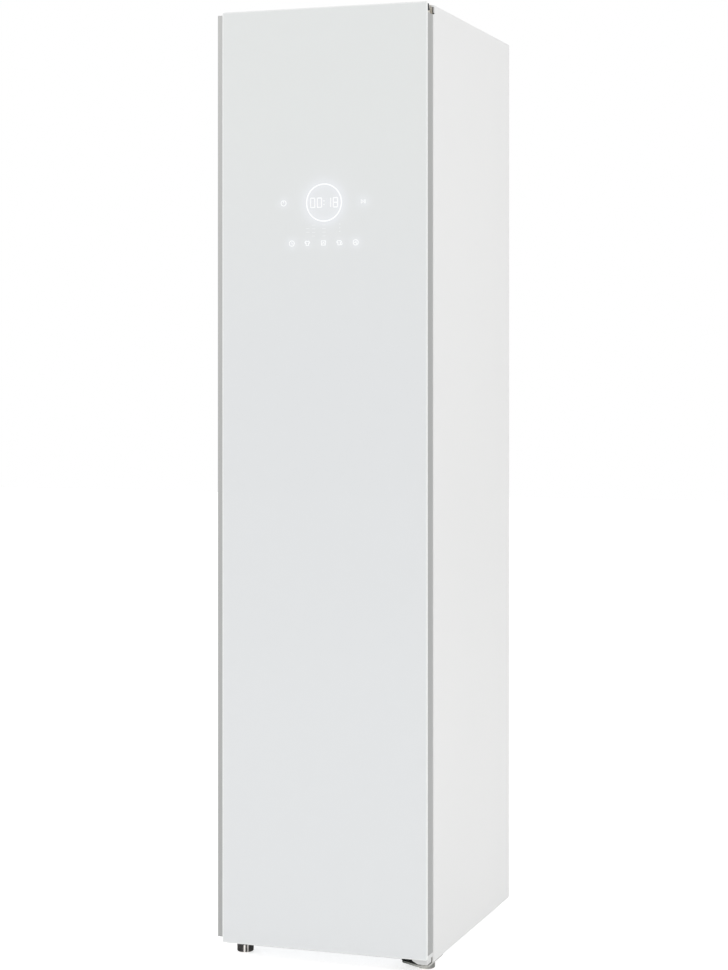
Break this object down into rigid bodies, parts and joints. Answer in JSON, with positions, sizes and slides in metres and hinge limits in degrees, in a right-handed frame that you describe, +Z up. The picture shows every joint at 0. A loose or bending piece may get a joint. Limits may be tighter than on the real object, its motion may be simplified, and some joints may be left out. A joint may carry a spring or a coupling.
{
  "type": "clothes care steam cabinet",
  "caption": "Tall slim steam cabinet for clothes with a glass door, side grip strip, shaking hanger rail, trouser press and water tanks.",
  "frame": {"origin": "on the floor under the centre of the cabinet's bounding box", "axes": "+X to the right seen from the front, +Y to the back, +Z up; the door faces -Y"},
  "size_m": [0.431, 0.592, 1.85],
  "materials": {
    "panel_glass": "back-painted glass, polished",
    "satin_aluminium": "satin anodised",
    "coil_aluminium": "bare fin stock",
    "door_plastic": "fine matt",
    "liner_plastic": "satin sheet",
    "grey_plastic": "fine matt",
    "dark_plastic": "matt",
    "press_plastic": "satin",
    "tank_plastic": "clear tinted",
    "lamp_lens": "frosted",
    "foam": null,
    "gasket": "soft matt",
    "rubber": "matt",
    "white_steel": "satin powder coat",
    "black_steel": "semi-gloss",
    "galvanised": "zinc coated",
    "hinge_steel": "nickel plated",
    "screw_steel": "plated",
    "foot_nickel": "dark nickel"
  },
  "bodies": {
    "cabinet": {"top_hinge": "hinge_steel", "bottom_hinge": "hinge_steel", "hinge_screws": "screw_steel", "side_panel_left": "white_steel", "side_panel_right": "white_steel", "top_panel": "white_steel", "rear_panel": "galvanised", "power_gland": "dark_plastic", "rear_screws": "screw_steel", "base_tray": "galvanised", "top_rail": "door_plastic", "middle_rail": "door_plastic", "kick_rail": "door_plastic", "liner_left": "liner_plastic", "liner_right": "liner_plastic", "liner_back": "liner_plastic", "cavity_floor": "grey_plastic", "ceiling_panel": "grey_plastic", "insulation_left": "foam", "insulation_right": "foam", "insulation_back": "foam", "cavity_lamp": "lamp_lens", "air_duct": "grey_plastic", "evaporator": "coil_aluminium", "condenser": "coil_aluminium", "blower_housing": "dark_plastic", "tank_bay": "grey_plastic", "compressor": "black_steel", "compressor_mounts": "rubber", "steam_generator": "screw_steel", "steam_nozzle": "grey_plastic", "water_pumps": "dark_plastic", "control_box": "dark_plastic", "guide_rods": "screw_steel", "motor_bracket": "galvanised", "hanger_motor": "black_steel", "rear_feet": "dark_plastic"},
    "door": {"door_glass": "panel_glass", "grip_profile": "satin_aluminium", "hinge_profile": "satin_aluminium", "door_top_rail": "door_plastic", "door_bottom_rail": "door_plastic", "door_foam": "foam", "door_liner": "liner_plastic", "door_gasket": "gasket", "display_module": "dark_plastic", "press_board": "press_plastic"},
    "press": {"press_plate": "press_plastic"},
    "supply_tank": {"supply_tank": "tank_plastic", "supply_tank_lid": "grey_plastic"},
    "drain_tank": {"drain_tank": "tank_plastic", "drain_tank_lid": "grey_plastic"},
    "shelf": {"shelf": "grey_plastic"},
    "filter": {"lint_filter": "grey_plastic"},
    "hanger": {"hanger_yoke": "grey_plastic", "hanger_rail": "satin_aluminium"},
    "crank": {"hanger_crank": "screw_steel"},
    "blower": {"blower_wheel": "dark_plastic"},
    "foot_left": {"front_foot_left": "foot_nickel"},
    "foot_right": {"front_foot_right": "foot_nickel"}
  },
  "joints": [
    {"name": "door_swing", "type": "hinge", "parent": "cabinet", "child": "door", "pos_m": [0.2035, -0.278, 0.94], "axis": [0, 0, 1], "range_deg": [0, 110]},
    {"name": "press_swing", "type": "hinge", "parent": "door", "child": "press", "pos_m": [0.139, -0.24, 1.06], "axis": [0, 0, -1], "range_deg": [0, 90]},
    {"name": "supply_tank_slide", "type": "slide", "parent": "cabinet", "child": "supply_tank", "axis": [0, -1, 0], "range_m": [0, 0.026]},
    {"name": "drain_tank_slide", "type": "slide", "parent": "cabinet", "child": "drain_tank", "axis": [0, -1, 0], "range_m": [0, 0.026]},
    {"name": "shelf_lift", "type": "slide", "parent": "cabinet", "child": "shelf", "axis": [0, 0, 1], "range_m": [0, 0.05]},
    {"name": "filter_lift", "type": "slide", "parent": "cabinet", "child": "filter", "axis": [0, 0, 1], "range_m": [0, 0.06]},
    {"name": "hanger_slide", "type": "slide", "parent": "cabinet", "child": "hanger", "axis": [1, 0, 0], "range_m": [-0.014, 0.014]},
    {"name": "crank_turn", "type": "hinge", "parent": "cabinet", "child": "crank", "pos_m": [0, 0.006, 1.785], "axis": [0, 0, 1], "range_deg": [-50, 50]},
    {"name": "blower_spin", "type": "hinge", "parent": "cabinet", "child": "blower", "pos_m": [0, 0.2035, 0.3425], "axis": [1, 0, 0], "continuous": true},
    {"name": "foot_left_turn", "type": "hinge", "parent": "cabinet", "child": "foot_left", "pos_m": [-0.1815, -0.232, 0.01], "axis": [0, 0, 1], "continuous": true},
    {"name": "foot_right_turn", "type": "hinge", "parent": "cabinet", "child": "foot_right", "pos_m": [0.1945, -0.232, 0.01], "axis": [0, 0, 1], "continuous": true}
  ],
  "couplings": [
    {"joint": "crank_turn", "follows": "hanger_slide", "rad_per_m": 61.728}
  ]
}
